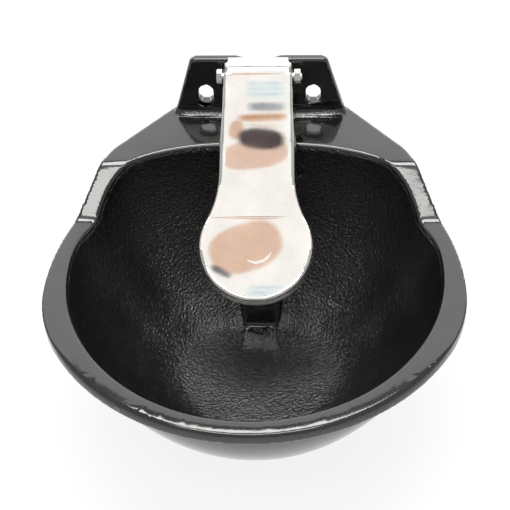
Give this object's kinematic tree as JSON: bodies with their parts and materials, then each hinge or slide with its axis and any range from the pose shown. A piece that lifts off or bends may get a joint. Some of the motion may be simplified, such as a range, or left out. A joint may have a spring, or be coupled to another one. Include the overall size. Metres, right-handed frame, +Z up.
{
  "type": "livestock drinking bowl",
  "caption": "Wall or post mounted enamelled drinking bowl with a pressed tongue that opens a spring-loaded inlet valve when an animal pushes it.",
  "frame": {"origin": "on the flat back face, midway between the two fixing slots", "axes": "+Z up, +Y into the wall, basin towards -Y, +X to the right seen from the front"},
  "size_m": [0.257, 0.2577, 0.175],
  "materials": {
    "enamelled_casting": "gloss black vitreous enamel over cast iron",
    "pressed_stainless": "polished pressed sheet",
    "stainless_fastener": "bright",
    "stainless_stem": "turned",
    "spring_wire": "drawn wire",
    "valve_brass": "turned",
    "white_nylon": "moulded",
    "strainer_plastic": "moulded",
    "black_rubber": "moulded"
  },
  "bodies": {
    "bowl": {"bowl_casting": "enamelled_casting", "pivot_bolt": "stainless_fastener", "pivot_nut": "stainless_fastener", "pivot_bush": "white_nylon", "hinge_washers": "white_nylon", "valve_body": "valve_brass", "body_seal": "black_rubber", "stem_guide": "white_nylon", "valve_spring": "spring_wire", "spring_cup": "valve_brass", "inlet_strainer": "strainer_plastic", "flow_screw_ring": "black_rubber"},
    "tongue": {"tongue": "pressed_stainless"},
    "plunger": {"valve_stem": "stainless_stem", "valve_seal": "black_rubber", "seal_plate": "stainless_stem", "stem_nut": "stainless_fastener"},
    "flow_screw": {"flow_screw": "valve_brass"}
  },
  "joints": [
    {"name": "tongue_press", "type": "hinge", "parent": "bowl", "child": "tongue", "pos_m": [0, -0.013, 0.02], "axis": [1, 0, 0], "range_deg": [0, 4], "stiffness_Nm_per_rad": 4, "springref_deg": -4.58},
    {"name": "valve_stroke", "type": "slide", "parent": "bowl", "child": "plunger", "axis": [0, 0, -1], "range_m": [0, 0.0053], "deforming": ["valve_spring"]},
    {"name": "flow_screw_turn", "type": "hinge", "parent": "bowl", "child": "flow_screw", "pos_m": [0, -0.0865, -0.098], "axis": [0, -1, 0], "range_deg": [-90, 0]}
  ],
  "couplings": [
    {"joint": "valve_stroke", "follows": "tongue_press", "m_per_rad": 0.0746}
  ]
}
